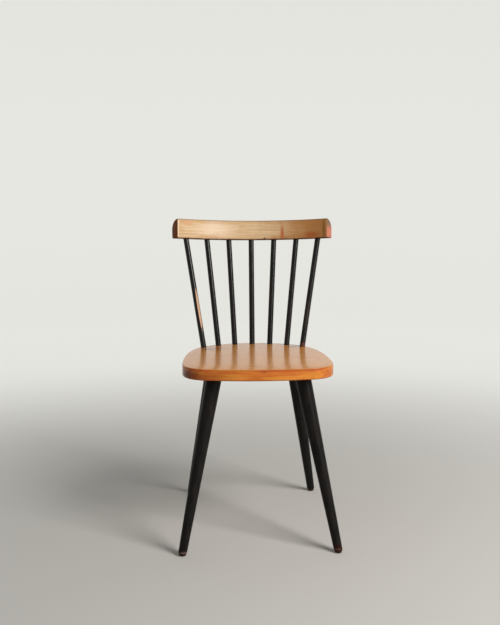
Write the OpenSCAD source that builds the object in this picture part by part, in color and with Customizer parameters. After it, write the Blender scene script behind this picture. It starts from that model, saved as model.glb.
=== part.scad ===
// Spindle-back dining chair.
// Origin: on the floor, at the middle of the chair's width and depth.
// Front faces -Y, the back leans towards +Y, +Z is up.

/* [Seat] */
// Height of the seat's top face above the floor
seat_h = 440; // [390:1:530]
// Width of the seat at its widest
seat_w = 376; // [313:1:452]
// Depth of the seat from front edge to rear edge
seat_d = 376; // [313:1:452]
// Thickness of the seat boards
seat_t = 28; // [23:0.1:40]
// Radius of the gently bowed front edge
seat_front_r = 700; // [450:10:1500]
// Distance of the widest place behind the front edge
seat_widest = 90; // [70:1:120]
// Part of each side taken up by a rounded front corner
seat_corner = 62; // [45:1:80]
// How far the sides run back before they turn in
seat_side_run = 135; // [90:1:150]
// How softly the rear corners run into the rear edge
seat_rear_run = 50; // [30:1:70]
// Rounding of the top and bottom edges
seat_edge_r = 3; // [1:0.5:6]

/* [Spindles] */
// Number of spindles in the back
spindle_n = 7; // [3:1:9]
// Diameter of a spindle
spindle_d = 15; // [12:0.1:18]
// Turn from the middle of the spindles' row on the seat to its outer spindles
foot_turn = 41.2; // [34:0.2:44]
// Distance from the rear edge of the seat to the spindles' axes
foot_rear_in = 14; // [12:0.5:24]
// Distance from the widest side of the seat to the outer spindles' axes
foot_side_in = 53; // [46:1:70]
// Depth of the spindle sockets in the seat
seat_socket = 18; // [12:0.5:20]
// Depth of the spindle sockets in the crest rail
rail_socket = 25; // [15:0.5:35]

/* [Crest rail] */
// Height of the rail's lower edge above the seat
back_h = 288; // [230:1:346]
// Distance of the rail's front face behind the seat's rear edge
rail_setback = 27; // [10:1:45]
// Straight distance between the ends of the front face
rail_w = 410; // [340:1:492]
// Height of the rail
rail_h = 53.5; // [46:0.5:80]
// Greatest thickness of the rail
rail_t = 27.5; // [22:0.1:40]
// Radius of the hollow front face
rail_r = 350; // [320:5:600]
// Height of the thickest place above the lower edge
rail_belly = 24; // [18:1:30]
// Rounding of the lower rear edge
rail_heel_r = 4; // [2:0.5:5]
// How much thinner the rail is at its lower edge
rail_heel_in = 1; // [0:0.5:2]
// Lean of the rail from upright
rail_lean = 8; // [4:0.5:14]
// Arc between a rail end and the nearest spindle's axis
rail_end_in = 36; // [25:1:60]

/* [Legs] */
// Diameter of a leg at the seat
leg_d = 39.5; // [32:0.5:46]
// Diameter of a leg at the floor
leg_foot_d = 20.5; // [18:0.5:28]
// Distance from the widest side of the seat to a front leg's axis
front_side_in = 79; // [60:0.5:100]
// Distance from the widest side of the seat to a rear leg's axis
rear_side_in = 81.5; // [60:0.5:100]
// Distance from the front legs' axes back to the front board's joint
leg_front_joint = 29; // [24:0.5:36]
// Distance from the rear legs' axes forward to the rear board's joint
leg_rear_joint = 23; // [23:0.5:30]
// Sideways splay of a front leg, from seat to floor
front_splay_out = 79; // [30:1:100]
// Forward splay of a front leg, from seat to floor
front_splay_fore = 98; // [30:1:120]
// Sideways splay of a rear leg, from seat to floor
rear_splay_out = 67; // [30:1:100]
// Backward splay of a rear leg, from seat to floor
rear_splay_back = 110; // [30:1:130]
// Diameter of the tenon turned on top of a leg
tenon_d = 24; // [18:0.5:28]
// Wood left in the seat above a leg's socket
tenon_roof = 8; // [6:0.5:12]

/* [Glides] */
// Diameter of the glide under a foot
glide_d = 18; // [14:0.5:18]
// Height of the glide
glide_h = 6.5; // [4:0.5:9]
// Diameter of the glide's flat underside
glide_flat_d = 12; // [8:0.5:12]
// Diameter of the nail's shank
nail_d = 2.8; // [2:0.2:4]
// Length of the nail's shank inside the leg
nail_l = 18; // [12:1:30]
// Diameter of the nail's head, held inside the glide
nail_head_d = 7; // [5:0.5:8]
// Thickness of the nail's head
nail_head_t = 1.2; // [0.8:0.2:2]

/* [Fits] */
// Gap all round a glued tenon or spindle end in its socket
glue_gap = 0.15; // [0.05:0.05:0.3]
// Gap beyond the end of a tenon or spindle, for spare glue
end_gap = 1; // [0.5:0.5:2]
// Gap all round the nail and its head
nail_gap = 0.05; // [0.02:0.01:0.1]

/* [Hidden] */
$fn = 96;
SIDES = [-1, 1];
SPINDLES = [for (i = [1:spindle_n]) str("spindle_", i)];
BOARDS = ["seat_front_board", "seat_second_board", "seat_third_board", "seat_rear_board"];
CORNERS = ["front_left", "front_right", "rear_left", "rear_right"];

// Steps along each stretch of the seat's outline, and round its edge
arc_steps = 8;
corner_steps = 12;
side_steps = 14;
edge_steps = 3;
belly_steps = 14;
heel_steps = 4;
// Pull of the front corner's curve towards its square corner
corner_pull = 0.65;
// Arc left plain between the outer spindle and the rear corner's curve
rear_arc_spare = 7;
// Overrun of a cut past the face it opens
cut_over = 12;
// How far a turned tenon starts inside the leg
tenon_root = 6;

wood_blond = [0.80, 0.60, 0.38];
wood_seat = [0.80, 0.50, 0.28];
paint_black = [0.09, 0.09, 0.10];
glide_brown = [0.20, 0.12, 0.08];
nail_steel = [0.60, 0.60, 0.60];

// Boards of equal width, glued edge to edge
board_n = len(BOARDS);
board_w = seat_d / board_n;
seat_under = seat_h - seat_t;

// Radius of the spindles' row on the seat, and of the seat's rear edge round it
foot_row_r = (seat_w / 2 - foot_side_in) / sin(foot_turn);
seat_rear_r = foot_row_r + foot_rear_in;
rear_c = seat_d - seat_rear_r;

// Turn from the middle of the rail to its end
rail_turn = asin(rail_w / 2 / rail_r);

// The spindles' axes meet the middle of the rail's lower edge
rail_row_in = (rail_t - rail_heel_in) / 2;
rail_row_r = rail_r + rail_row_in;
head_turn = rail_turn - rail_end_in / rail_row_r * 180 / PI;

// Distance from the seat's edges to the legs' axes, which keeps each tenon in one board
leg_front_in = board_w - leg_front_joint;
leg_rear_in = board_w - leg_rear_joint;

// Reach of the chair to the front and to the rear, from the seat's front edge
leg_rise = seat_under;
rail_reach = sqrt(pow(rail_t * cos(rail_lean), 2) + pow((rail_h - rail_belly) * sin(rail_lean), 2))
    + rail_belly * sin(rail_lean);
front_reach = front_splay_fore - leg_front_in
    + leg_foot_d / 2 * sqrt(1 + pow(front_splay_fore / leg_rise, 2))
    - front_splay_fore * glide_h / leg_rise;
rear_foot_reach = seat_d - leg_rear_in + rear_splay_back
    + leg_foot_d / 2 * sqrt(1 + pow(rear_splay_back / leg_rise, 2))
    - rear_splay_back * glide_h / leg_rise;
rear_reach = max(rear_foot_reach, seat_d + rail_setback + rail_reach);
seat_y = -(rear_reach - front_reach) / 2;

// ---- geometry helpers ----

function unit(v) = v / norm(v);

function bezier(p, t) =
    pow(1 - t, 3) * p[0]
    + 3 * t * pow(1 - t, 2) * p[1]
    + 3 * pow(t, 2) * (1 - t) * p[2]
    + pow(t, 3) * p[3];

// Places children at a, tipped without a twist so that their Z axis runs towards b
module along(a, b) {
    d = b - a;
    turn = atan2(d[1], d[0]);
    translate(a)
        rotate([0, acos(d[2] / norm(d)), turn])
            rotate([0, 0, -turn])
                children();
}

// Children on the left side as drawn, or mirrored to the right side
module on_side(s) {
    if (s < 0)
        children();
    else
        mirror([1, 0, 0])
            children();
}

// ---- seat ----

// Right half of the outline from the front middle to the rear middle,
// seen from above, with the front edge at y = 0
front_turn = asin((seat_w / 2 - seat_corner) / seat_front_r);
corner_start = seat_front_r * [sin(front_turn), -cos(front_turn)] + [0, seat_front_r];
corner_tip = [seat_w / 2, corner_start[1] + seat_corner * tan(front_turn)];
widest = [seat_w / 2, seat_widest];
corner_curve = [
    corner_start,
    corner_start + corner_pull * (corner_tip - corner_start),
    widest + corner_pull * (corner_tip - widest),
    widest
];
rear_turn = foot_turn - rear_arc_spare;
side_end = [0, rear_c] + seat_rear_r * [sin(rear_turn), cos(rear_turn)];
side_curve = [
    widest,
    widest + [0, seat_side_run],
    side_end + seat_rear_run * [cos(rear_turn), -sin(rear_turn)],
    side_end
];
half_outline = concat(
    [for (i = [0:arc_steps - 1])
        let (a = front_turn * i / arc_steps)
        [0, seat_front_r] + seat_front_r * [sin(a), -cos(a)]],
    [for (i = [0:corner_steps - 1]) bezier(corner_curve, i / corner_steps)],
    [for (i = [0:side_steps - 1]) bezier(side_curve, i / side_steps)],
    [for (i = [0:arc_steps])
        let (a = rear_turn * (1 - i / arc_steps))
        [0, rear_c] + seat_rear_r * [sin(a), cos(a)]]
);
half_n = len(half_outline);
seat_outline = concat(
    half_outline,
    [for (i = [half_n - 2:-1:1]) [-half_outline[i][0], half_outline[i][1]]]
);
seat_n = len(seat_outline);

// Outward direction at point i of the outline
function out_dir(i) =
    let (d = seat_outline[(i + 1) % seat_n] - seat_outline[(i + seat_n - 1) % seat_n])
    unit([d[1], -d[0]]);

// The outline moved in by inset, at height z
function seat_ring(inset, z) = [
    for (i = [0:seat_n - 1])
        let (p = seat_outline[i] - inset * out_dir(i))
        [p[0], p[1], z]
];

// Insets and heights of the rings that round the lower and upper edges
lower_rings = [
    for (i = [0:edge_steps])
        let (a = 90 * i / edge_steps)
        seat_ring(seat_edge_r * (1 - sin(a)), seat_under + seat_edge_r * (1 - cos(a)))
];
upper_rings = [
    for (i = [0:edge_steps])
        let (a = 90 * i / edge_steps)
        seat_ring(seat_edge_r * (1 - cos(a)), seat_h - seat_edge_r * (1 - sin(a)))
];
seat_rings = concat(lower_rings, upper_rings);
ring_n = len(seat_rings);

module seat_blank() {
    polyhedron(
        points = [for (ring = seat_rings) for (p = ring) p],
        faces = concat(
            [[for (i = [0:seat_n - 1]) i]],
            [for (r = [0:ring_n - 2])
                for (i = [0:seat_n - 1])
                    let (j = (i + 1) % seat_n, lo = r * seat_n, hi = lo + seat_n)
                    [lo + i, hi + i, hi + j, lo + j]],
            [[for (i = [seat_n - 1:-1:0]) (ring_n - 1) * seat_n + i]]
        ),
        convexity = 2
    );
}

// Board k of the seat, counted from the front
module seat_board(k) {
    color(wood_seat)
        translate([0, seat_y, 0])
            difference() {
                intersection() {
                    seat_blank();
                    translate([-seat_w, k * board_w, 0])
                        cube([2 * seat_w, board_w, 2 * seat_h]);
                }
                if (k == 0)
                    for (s = SIDES)
                        leg_socket(s, true);
                if (k == board_n - 1) {
                    for (s = SIDES)
                        leg_socket(s, false);
                    for (i = [1:spindle_n])
                        spindle_socket(i);
                }
            }
}

// ---- spindles ----

// Share of the way from the middle spindle to the right-hand one, -1 to 1
function spindle_share(i) = (2 * i - spindle_n - 1) / (spindle_n - 1);

// Where a spindle's axis meets the top of the seat
function spindle_foot(i) =
    let (a = foot_turn * spindle_share(i))
    [foot_row_r * sin(a), rear_c + foot_row_r * cos(a), seat_h];

// A point of the rail: angle from the middle, distance behind the front face,
// and height above the lower edge, before and after the rail leans back
function on_rail(a, back, up) =
    let (y = (rail_r + back) * cos(a) - rail_r)
    [
        (rail_r + back) * sin(a),
        seat_d + rail_setback + y * cos(rail_lean) + up * sin(rail_lean),
        seat_h + back_h - y * sin(rail_lean) + up * cos(rail_lean)
    ];

// Where a spindle's axis meets the underside of the rail
function spindle_head(i) = on_rail(head_turn * spindle_share(i), rail_row_in, 0);

function spindle_rise(i) = norm(spindle_head(i) - spindle_foot(i));

// The right-hand spindles are mirror images of the left-hand ones
module spindle_rod(i, gap, spare) {
    k = min(i, spindle_n + 1 - i);
    on_side(i == k ? -1 : 1)
        along(spindle_foot(k), spindle_head(k))
            translate([0, 0, -seat_socket - spare])
                cylinder(
                    h = seat_socket + spindle_rise(k) + rail_socket + 2 * spare,
                    d = spindle_d + 2 * gap
                );
}

module spindle_socket(i) {
    spindle_rod(i, glue_gap, end_gap);
}

module spindle(i) {
    color(paint_black)
        translate([0, seat_y, 0])
            spindle_rod(i, 0, 0);
}

// ---- crest rail ----

// Section of the rail: x is the distance behind the front face, y the height
function rail_section() = concat(
    [[0, 0]],
    [for (i = [0:heel_steps])
        let (a = 90 * i / heel_steps)
        [rail_t - rail_heel_in - rail_heel_r * (1 - sin(a)), rail_heel_r * (1 - cos(a))]],
    [for (i = [0:belly_steps])
        let (a = 90 * i / belly_steps)
        [rail_t * cos(a), rail_belly + (rail_h - rail_belly) * sin(a)]]
);

module crest_rail() {
    color(wood_blond)
        translate([0, seat_y, 0])
            difference() {
                translate([0, seat_d + rail_setback, seat_h + back_h])
                    rotate([-rail_lean, 0, 0])
                        translate([0, -rail_r, 0])
                            rotate([0, 0, 90 - rail_turn])
                                rotate_extrude(angle = 2 * rail_turn)
                                    translate([rail_r, 0])
                                        polygon(rail_section());
                for (i = [1:spindle_n])
                    spindle_socket(i);
            }
}

// ---- legs ----

// Axis of a leg where it meets the underside of the seat, and at the floor
function leg_top(s, front) = [
    s * (seat_w / 2 - (front ? front_side_in : rear_side_in)),
    front ? leg_front_in : seat_d - leg_rear_in,
    seat_under
];
function leg_floor(s, front) =
    leg_top(s, front) + [
        s * (front ? front_splay_out : rear_splay_out),
        front ? -front_splay_fore : rear_splay_back,
        -leg_rise
    ];
function leg_length(s, front) = norm(leg_top(s, front) - leg_floor(s, front));

// Middle of a foot's cut face, on top of the glide
function foot_mid(s, front) =
    let (a = leg_floor(s, front), b = leg_top(s, front))
    a + (b - a) * glide_h / leg_rise;

// Length of the tenon that leaves tenon_roof of wood above its socket
tenon_l = seat_t - tenon_roof;

module leg_socket(s, front) {
    on_side(s)
        along(leg_top(-1, front), 2 * leg_top(-1, front) - leg_floor(-1, front))
            translate([0, 0, -cut_over])
                cylinder(h = cut_over + tenon_l + end_gap, d = tenon_d + 2 * glue_gap);
}

// A left leg
module left_leg(front) {
    length = leg_length(-1, front);
    taper = (leg_d - leg_foot_d) / length * cut_over;
    a = leg_floor(-1, front);
    b = leg_top(-1, front);
    color(paint_black)
        translate([0, seat_y, 0])
            difference() {
                union() {
                    intersection() {
                        along(a, b)
                            translate([0, 0, -cut_over])
                                cylinder(
                                    h = length + 2 * cut_over,
                                    d1 = leg_foot_d - taper,
                                    d2 = leg_d + taper
                                );
                        translate([-seat_w, -seat_d, glide_h])
                            cube([2 * seat_w, 3 * seat_d, seat_under - glide_h]);
                    }
                    along(a, b)
                        translate([0, 0, length - tenon_root])
                            cylinder(h = tenon_root + tenon_l, d = tenon_d);
                }
                translate(foot_mid(-1, front))
                    translate([0, 0, -cut_over])
                        cylinder(h = cut_over + nail_l + end_gap, d = nail_d + 2 * nail_gap);
            }
}

module leg(s, front) {
    on_side(s)
        left_leg(front);
}

// ---- glides ----

// Half section of the glide, with its rounded skirt, above the floor
glide_round_r = (glide_d - glide_flat_d) / 2;

module glide_half_section() {
    translate([0, glide_round_r])
        square([glide_d / 2, glide_h - glide_round_r]);
    square([glide_flat_d / 2, glide_h]);
    translate([glide_flat_d / 2, glide_round_r])
        circle(r = glide_round_r);
}

module glide(s, front) {
    foot = foot_mid(s, front);
    color(glide_brown)
        translate([foot[0], foot[1] + seat_y, 0])
            difference() {
                rotate_extrude()
                    intersection() {
                        glide_half_section();
                        square([glide_d, glide_h]);
                    }
                translate([0, 0, glide_h - nail_head_t - nail_gap])
                    cylinder(h = nail_head_t + nail_gap + cut_over, d = nail_head_d + 2 * nail_gap);
            }
}

module glide_nail(s, front) {
    foot = foot_mid(s, front);
    color(nail_steel)
        translate([foot[0], foot[1] + seat_y, glide_h - nail_head_t]) {
            cylinder(h = nail_head_t, d = nail_head_d);
            cylinder(h = nail_head_t + nail_l, d = nail_d);
        }
}

// ---- the chair ----

for (k = [0:board_n - 1])
    seat_board(k);
crest_rail();
for (i = [1:spindle_n])
    spindle(i);
leg(-1, true);  // leg_front_left
leg(1, true);  // leg_front_right
leg(-1, false);  // leg_rear_left
leg(1, false);  // leg_rear_right
glide(-1, true);  // glide_front_left
glide(1, true);  // glide_front_right
glide(-1, false);  // glide_rear_left
glide(1, false);  // glide_rear_right
glide_nail(-1, true);  // glide_nail_front_left
glide_nail(1, true);  // glide_nail_front_right
glide_nail(-1, false);  // glide_nail_rear_left
glide_nail(1, false);  // glide_nail_rear_right
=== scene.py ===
"""Looks of the spindle-back dining chair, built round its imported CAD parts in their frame, in metres."""

import logging
import math
from dataclasses import dataclass, field
from enum import Enum
from typing import Any, Mapping, Sequence

import bmesh
import bpy
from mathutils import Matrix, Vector


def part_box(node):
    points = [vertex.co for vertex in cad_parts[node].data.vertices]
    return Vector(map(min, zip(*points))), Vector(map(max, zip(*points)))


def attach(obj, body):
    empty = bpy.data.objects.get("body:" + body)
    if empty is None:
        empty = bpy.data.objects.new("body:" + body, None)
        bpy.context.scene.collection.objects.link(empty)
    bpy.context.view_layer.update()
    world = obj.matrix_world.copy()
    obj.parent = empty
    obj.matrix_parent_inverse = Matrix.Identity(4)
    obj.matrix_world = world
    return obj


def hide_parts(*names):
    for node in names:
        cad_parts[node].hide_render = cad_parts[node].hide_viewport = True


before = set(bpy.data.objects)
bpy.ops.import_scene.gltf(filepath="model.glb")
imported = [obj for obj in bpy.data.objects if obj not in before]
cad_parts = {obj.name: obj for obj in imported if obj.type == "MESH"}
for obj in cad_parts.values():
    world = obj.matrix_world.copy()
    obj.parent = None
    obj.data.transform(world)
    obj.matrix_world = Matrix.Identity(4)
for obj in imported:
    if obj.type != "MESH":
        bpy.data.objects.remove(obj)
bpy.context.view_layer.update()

MM = 0.001
TOUCH = 1e-7
AXIS_ROUNDS = 4
LOG = logging.getLogger("chair")

Colour = tuple[float, float, float]
Point2 = tuple[float, float]


def tone(red: int, green: int, blue: int) -> Colour:
    """A display colour, 0 to 255 a channel, as the linear colour that shaders use.

    Args:
        red: Red channel.
        green: Green channel.
        blue: Blue channel.

    Returns:
        The linear colour.
    """
    def linear(channel: int) -> float:
        """One channel made linear."""
        share = channel / 255
        return share / 12.92 if share <= 0.04045 else ((share + 0.055) / 1.055) ** 2.4

    return linear(red), linear(green), linear(blue)


# ---- node building ----


class Amount:
    """A number that varies over a surface. Arithmetic on it adds Math nodes."""

    def __init__(self, kit: "NodeKit", socket: bpy.types.NodeSocket) -> None:
        self.kit = kit
        self.socket = socket

    def _math(self, operation: str, *terms: "Amount | float") -> "Amount":
        """The result of one Math node."""
        made = self.kit.node("ShaderNodeMath", {"operation": operation}, dict(enumerate(terms)))
        return Amount(self.kit, made.outputs[0])

    def __add__(self, other: "Amount | float") -> "Amount":
        """Sum."""
        return self._math("ADD", self, other)

    __radd__ = __add__

    def __sub__(self, other: "Amount | float") -> "Amount":
        """Difference."""
        return self._math("SUBTRACT", self, other)

    def __rsub__(self, other: float) -> "Amount":
        """Difference from a number."""
        return self._math("SUBTRACT", other, self)

    def __mul__(self, other: "Amount | float") -> "Amount":
        """Product."""
        return self._math("MULTIPLY", self, other)

    __rmul__ = __mul__

    def __truediv__(self, other: "Amount | float") -> "Amount":
        """Quotient, 0 where the divisor is 0."""
        return self._math("DIVIDE", self, other)

    def __pow__(self, power: "Amount | float") -> "Amount":
        """Power."""
        return self._math("POWER", self, power)

    def size(self) -> "Amount":
        """The number without its sign."""
        return self._math("ABSOLUTE", self)

    def root(self) -> "Amount":
        """Square root."""
        return self._math("SQRT", self)

    def at_least(self, least: float) -> "Amount":
        """The number, or the least one where it is below that."""
        return self._math("MAXIMUM", self, least)

    def wave(self) -> "Amount":
        """Sine of the number, brought to 0 to 1."""
        return self._math("SINE", self) * 0.5 + 0.5

    def over(self, low: float, high: float) -> "Amount":
        """A soft step from 0 at low to 1 at high, or the other way round if low is the greater.

        Args:
            low: Where the step is 0.
            high: Where the step is 1.

        Returns:
            The step.
        """
        first, last = min(low, high), max(low, high)
        made = self.kit.node(
            "ShaderNodeMapRange",
            {"interpolation_type": "SMOOTHSTEP"},
            {"Value": self, "From Min": first, "From Max": last},
        )
        step = Amount(self.kit, made.outputs[0])
        return step if low < high else 1 - step


class NodeKit:
    """Builds a node tree."""

    def __init__(self, tree: bpy.types.NodeTree) -> None:
        """Takes the tree to build in."""
        self.tree = tree

    def node(
        self,
        kind: str,
        settings: Mapping[str, Any] | None = None,
        inputs: Mapping[int | str, Any] | None = None,
    ) -> bpy.types.Node:
        """Adds a node.

        Args:
            kind: The node's type.
            settings: Its settings, set first. "stops" gives a ramp's positions and colours.
            inputs: Values or links of its sockets, by name or number.

        Returns:
            The node.
        """
        made = self.tree.nodes.new(kind)
        for name, value in (settings or {}).items():
            if name == "stops":
                self._set_stops(made.color_ramp, value)
            else:
                setattr(made, name, value)
        for key, value in (inputs or {}).items():
            self._feed(self._find(made.inputs, key), value)
        return made

    @staticmethod
    def _set_stops(ramp: bpy.types.ColorRamp, stops: Sequence[tuple[float, Colour]]) -> None:
        """Gives a ramp its stops.

        Args:
            ramp: The ramp.
            stops: Positions and colours in order.
        """
        while len(ramp.elements) < len(stops):
            ramp.elements.new(1.0)
        for element, (position, colour) in zip(ramp.elements, stops):
            element.position = position
            element.color = (*colour, 1.0)

    @staticmethod
    def _find(sockets: Any, key: int | str) -> bpy.types.NodeSocket:
        """The socket in use with that name or number."""
        by_name = (socket for socket in sockets if socket.name == key and socket.enabled)
        return sockets[key] if isinstance(key, int) else next(by_name)

    def _feed(self, socket: bpy.types.NodeSocket, value: Any) -> None:
        """Links or sets a socket.

        Args:
            socket: The input socket.
            value: An Amount, an output socket, or a plain value.
        """
        if isinstance(value, Amount):
            value = value.socket
        if isinstance(value, bpy.types.NodeSocket):
            self.tree.links.new(value, socket)
        elif socket.type == "RGBA" and len(value) == 3:
            socket.default_value = (*value, 1.0)
        else:
            socket.default_value = value

    def vector_maths(self, operation: str, *terms: Any) -> bpy.types.NodeSocket:
        """The vector result of a Vector Math node."""
        inputs = dict(enumerate(terms))
        return self.node("ShaderNodeVectorMath", {"operation": operation}, inputs).outputs["Vector"]

    def measure(self, operation: str, *terms: Any) -> Amount:
        """The number result of a Vector Math node."""
        made = self.node("ShaderNodeVectorMath", {"operation": operation}, dict(enumerate(terms)))
        return Amount(self, made.outputs["Value"])

    def parts(self, vector: bpy.types.NodeSocket) -> tuple[Amount, Amount, Amount]:
        """The three components of a vector."""
        split = self.node("ShaderNodeSeparateXYZ", None, {0: vector})
        return tuple(Amount(self, socket) for socket in split.outputs)


class ShaderKit(NodeKit):
    """Builds the node tree of one material."""

    def __init__(self, name: str) -> None:
        """Makes an empty material.

        Args:
            name: The material's name.
        """
        self.material = bpy.data.materials.new(name)
        self.material.use_nodes = True
        super().__init__(self.material.node_tree)
        self.tree.nodes.clear()
        self._place = self.node("ShaderNodeTexCoord").outputs["Object"]

    def place(self, offset: Sequence[float] = (0, 0, 0)) -> bpy.types.NodeSocket:
        """The surface point in the chair's frame, moved by an offset."""
        return self.vector_maths("ADD", self._place, tuple(offset)) if any(offset) else self._place

    def attribute(self, name: str, output: str = "Vector") -> bpy.types.NodeSocket:
        """A named attribute of the mesh, as a vector or, from the output "Fac", as a number."""
        return self.node("ShaderNodeAttribute", {"attribute_name": name}).outputs[output]

    def noise(
        self, vector: Any, cells: float | Sequence[float], detail: float = 3.0, roughness: float = 0.5
    ) -> Amount:
        """Soft noise, about 0.3 to 0.7.

        Args:
            vector: Where it is read.
            cells: Noise cells to the metre, the same on all axes or for each of them.
            detail: Octaves.
            roughness: Strength of the fine octaves.

        Returns:
            The noise.
        """
        if not isinstance(cells, (int, float)):
            vector, cells = self.vector_maths("MULTIPLY", vector, tuple(cells)), 1.0
        inputs = {"Vector": vector, "Scale": cells, "Detail": detail, "Roughness": roughness}
        return Amount(self, self.node("ShaderNodeTexNoise", None, inputs).outputs[0])

    def ramp(self, amount: Amount, stops: Sequence[tuple[float, Colour]]) -> bpy.types.NodeSocket:
        """A colour looked up from a number."""
        return self.node("ShaderNodeValToRGB", {"stops": stops}, {"Fac": amount}).outputs["Color"]

    def blend(self, below: Any, above: Any, share: Amount | float) -> bpy.types.NodeSocket:
        """A colour over another, which it hides where its share is 1."""
        inputs = {"Factor": share, "A": below, "B": above}
        return self._find(self.node("ShaderNodeMix", {"data_type": "RGBA"}, inputs).outputs, "Result")

    def layers(self, colour: Any, *layers: tuple[Any, Amount | float]) -> Any:
        """Lays colours over a colour.

        Args:
            colour: The lowest colour.
            layers: The colours over it in order, each with its share from 0 to 1.

        Returns:
            The mixed colour.
        """
        for above, share in layers:
            colour = self.blend(colour, above, share)
        return colour

    def relief(self, height: Amount, depth: float) -> bpy.types.NodeSocket:
        """A normal tilted by a height, where a height of 1 measures the depth in metres."""
        inputs = {"Strength": 1.0, "Distance": depth, "Height": height}
        return self.node("ShaderNodeBump", None, inputs).outputs["Normal"]

    def finish(self, inputs: Mapping[str, Any]) -> bpy.types.Material:
        """Ends the tree in a Principled shader.

        Args:
            inputs: The shader's values and links.

        Returns:
            The material.
        """
        shader = self.node("ShaderNodeBsdfPrincipled", None, inputs)
        self.node("ShaderNodeOutputMaterial", None, {"Surface": shader.outputs["BSDF"]})
        return self.material


# ---- finishes ----


@dataclass(frozen=True)
class StainOrLightPatch:
    """A patch on a surface, used for stains and for painted light and shade.

    Attributes:
        reach: Half its size along each axis, in metres.
        strength: How much it covers, 0 to 1.
        softness: How gradually it fades, from 0 for a crisp edge to 1.
    """

    centre: tuple[float, float, float]
    reach: tuple[float, float, float]
    colour: Colour
    strength: float
    softness: float = 0.6


def with_stains_and_painted_light(kit: ShaderKit, place: Any, colour: Any, stains_and_painted_light: Sequence[StainOrLightPatch]) -> bpy.types.NodeSocket:
    """Lays stains, and patches of painted light and shade, over a colour.

    Args:
        kit: The material's kit.
        place: The coordinates that the patches' places are given in.
        colour: The colour below.
        stains_and_painted_light: The stains and the patches of painted light and shade.

    Returns:
        The colour with the patches laid on.
    """
    ragged = kit.noise(place, 420, 3.0, 0.6) * 0.9 - 0.45
    for patch in stains_and_painted_light:
        shrink = tuple(1 / r for r in patch.reach)
        middle = tuple(c * s for c, s in zip(patch.centre, shrink))
        near = kit.measure("DISTANCE", kit.vector_maths("MULTIPLY", place, shrink), middle) + ragged
        cover = near.over(1.0, 1.0 - max(patch.softness, 0.05)) * patch.strength
        colour = kit.blend(colour, patch.colour, cover)
    return colour


@dataclass(frozen=True)
class SeatWood:
    """Satin-varnished seat wood. Its long grain runs from left to right.

    Attributes:
        board: The board's number from the front, which shifts its grain.
        seams: Y of the glue lines beside the board.
        under: Height of the board's underside.
        upper: Height of the board's upper face.
        ring_gap: Distance between growth rings.
        joint_w: Width of a glue line.
    """

    board: int
    seams: tuple[float, ...]
    under: float
    upper: float
    stains_and_painted_light: tuple[StainOrLightPatch, ...] = ()

    pale: Colour = tone(220, 134, 58)
    middle: Colour = tone(208, 116, 46)
    deep: Colour = tone(192, 98, 36)
    ruddy: Colour = tone(190, 80, 36)
    honey: Colour = tone(228, 150, 56)
    # tan: painted sheen, a paler tone laid over the upper face in place of its gloss reflection
    tan: Colour = tone(224, 158, 80)
    # Colour of pores and glue lines, also laid as painted shade on the rounding of the lower edge
    pore_and_shade: Colour = tone(104, 48, 22)
    ring_gap: float = 9 * MM
    joint_w: float = 1 * MM

    def build(self) -> bpy.types.Material:
        """Makes the material.

        Returns:
            The material.
        """
        kit = ShaderKit(f"seat_wood_{self.board}")
        place = kit.place((0.23 * self.board, 0.013 * self.board, 0.31 * self.board))

        sway = kit.noise(place, (2.2, 9, 9), 2.0)
        wander = kit.noise(place, (5, 30, 30), 3.0)
        _, across, up = kit.parts(place)
        heart = (across * across * 0.6 + (up + 0.06) ** 2).root()
        rings = (heart * (math.tau / self.ring_gap) + sway * 20 + wander * 7).wave() ** 1.6
        streaks = kit.noise(place, (5, 150, 150), 5.0, 0.62)
        patches = kit.noise(place, (9, 26, 70), 2.0)

        grain = rings * 0.2 + streaks.over(0.3, 0.72) * 0.8
        pores = kit.noise(place, (90, 1500, 1500), 2.0).over(0.62, 0.74)
        _, y, z = kit.parts(kit.place())
        # flat picks out the upper face, which gets the painted sheen colour and a thicker coat
        flat = z.over(self.upper - 2 * MM, self.upper)
        # lip: darker at and just below the rounding of the upper edge
        lip = z.over(self.upper - 4.5 * MM, self.upper - 2.8 * MM)
        lip = lip * z.over(self.upper, self.upper - 1.2 * MM)
        # rim: painted shade on the rounding of the lower edge
        rim = (z - self.under).over(3.5 * MM, 0.8 * MM)
        joints = [(y - seam).size().over(self.joint_w / 2, self.joint_w / 10) for seam in self.seams]
        colour = kit.layers(
            kit.ramp(grain, [(0.08, self.pale), (0.5, self.middle), (0.95, self.deep)]),
            (self.ruddy, patches.over(0.5, 0.68) * 0.6),
            (self.honey, patches.over(0.47, 0.33) * 0.6),
            # painted sheen over the upper face
            (self.tan, flat * 0.72),
            (self.pore_and_shade, pores * 0.45),
            *((self.pore_and_shade, joint * 0.35) for joint in joints),
        )
        colour = with_stains_and_painted_light(kit, kit.place(), colour, self.stains_and_painted_light)
        # darker band at the upper rounding, and painted shade on the lower rounding
        colour = kit.layers(colour, (self.pore_and_shade, lip * 0.3), (self.pore_and_shade, rim * 0.55))

        scuffs = kit.noise(kit.place(), (30, 60, 60), 4.0, 0.6)
        waves = kit.noise(kit.place(), 14, 1.0)
        height = waves * 0.8 + streaks * 0.12 - pores * 0.05
        return kit.finish({
            "Base Color": colour,
            "Roughness": 0.2 + scuffs * 0.12 + pores * 0.08,
            "Specular IOR Level": 0.2,
            "Coat Weight": 0.12 + flat * 0.34,
            "Coat Roughness": 0.14,
            "Normal": kit.relief(height, 0.2 * MM),
        })


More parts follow.
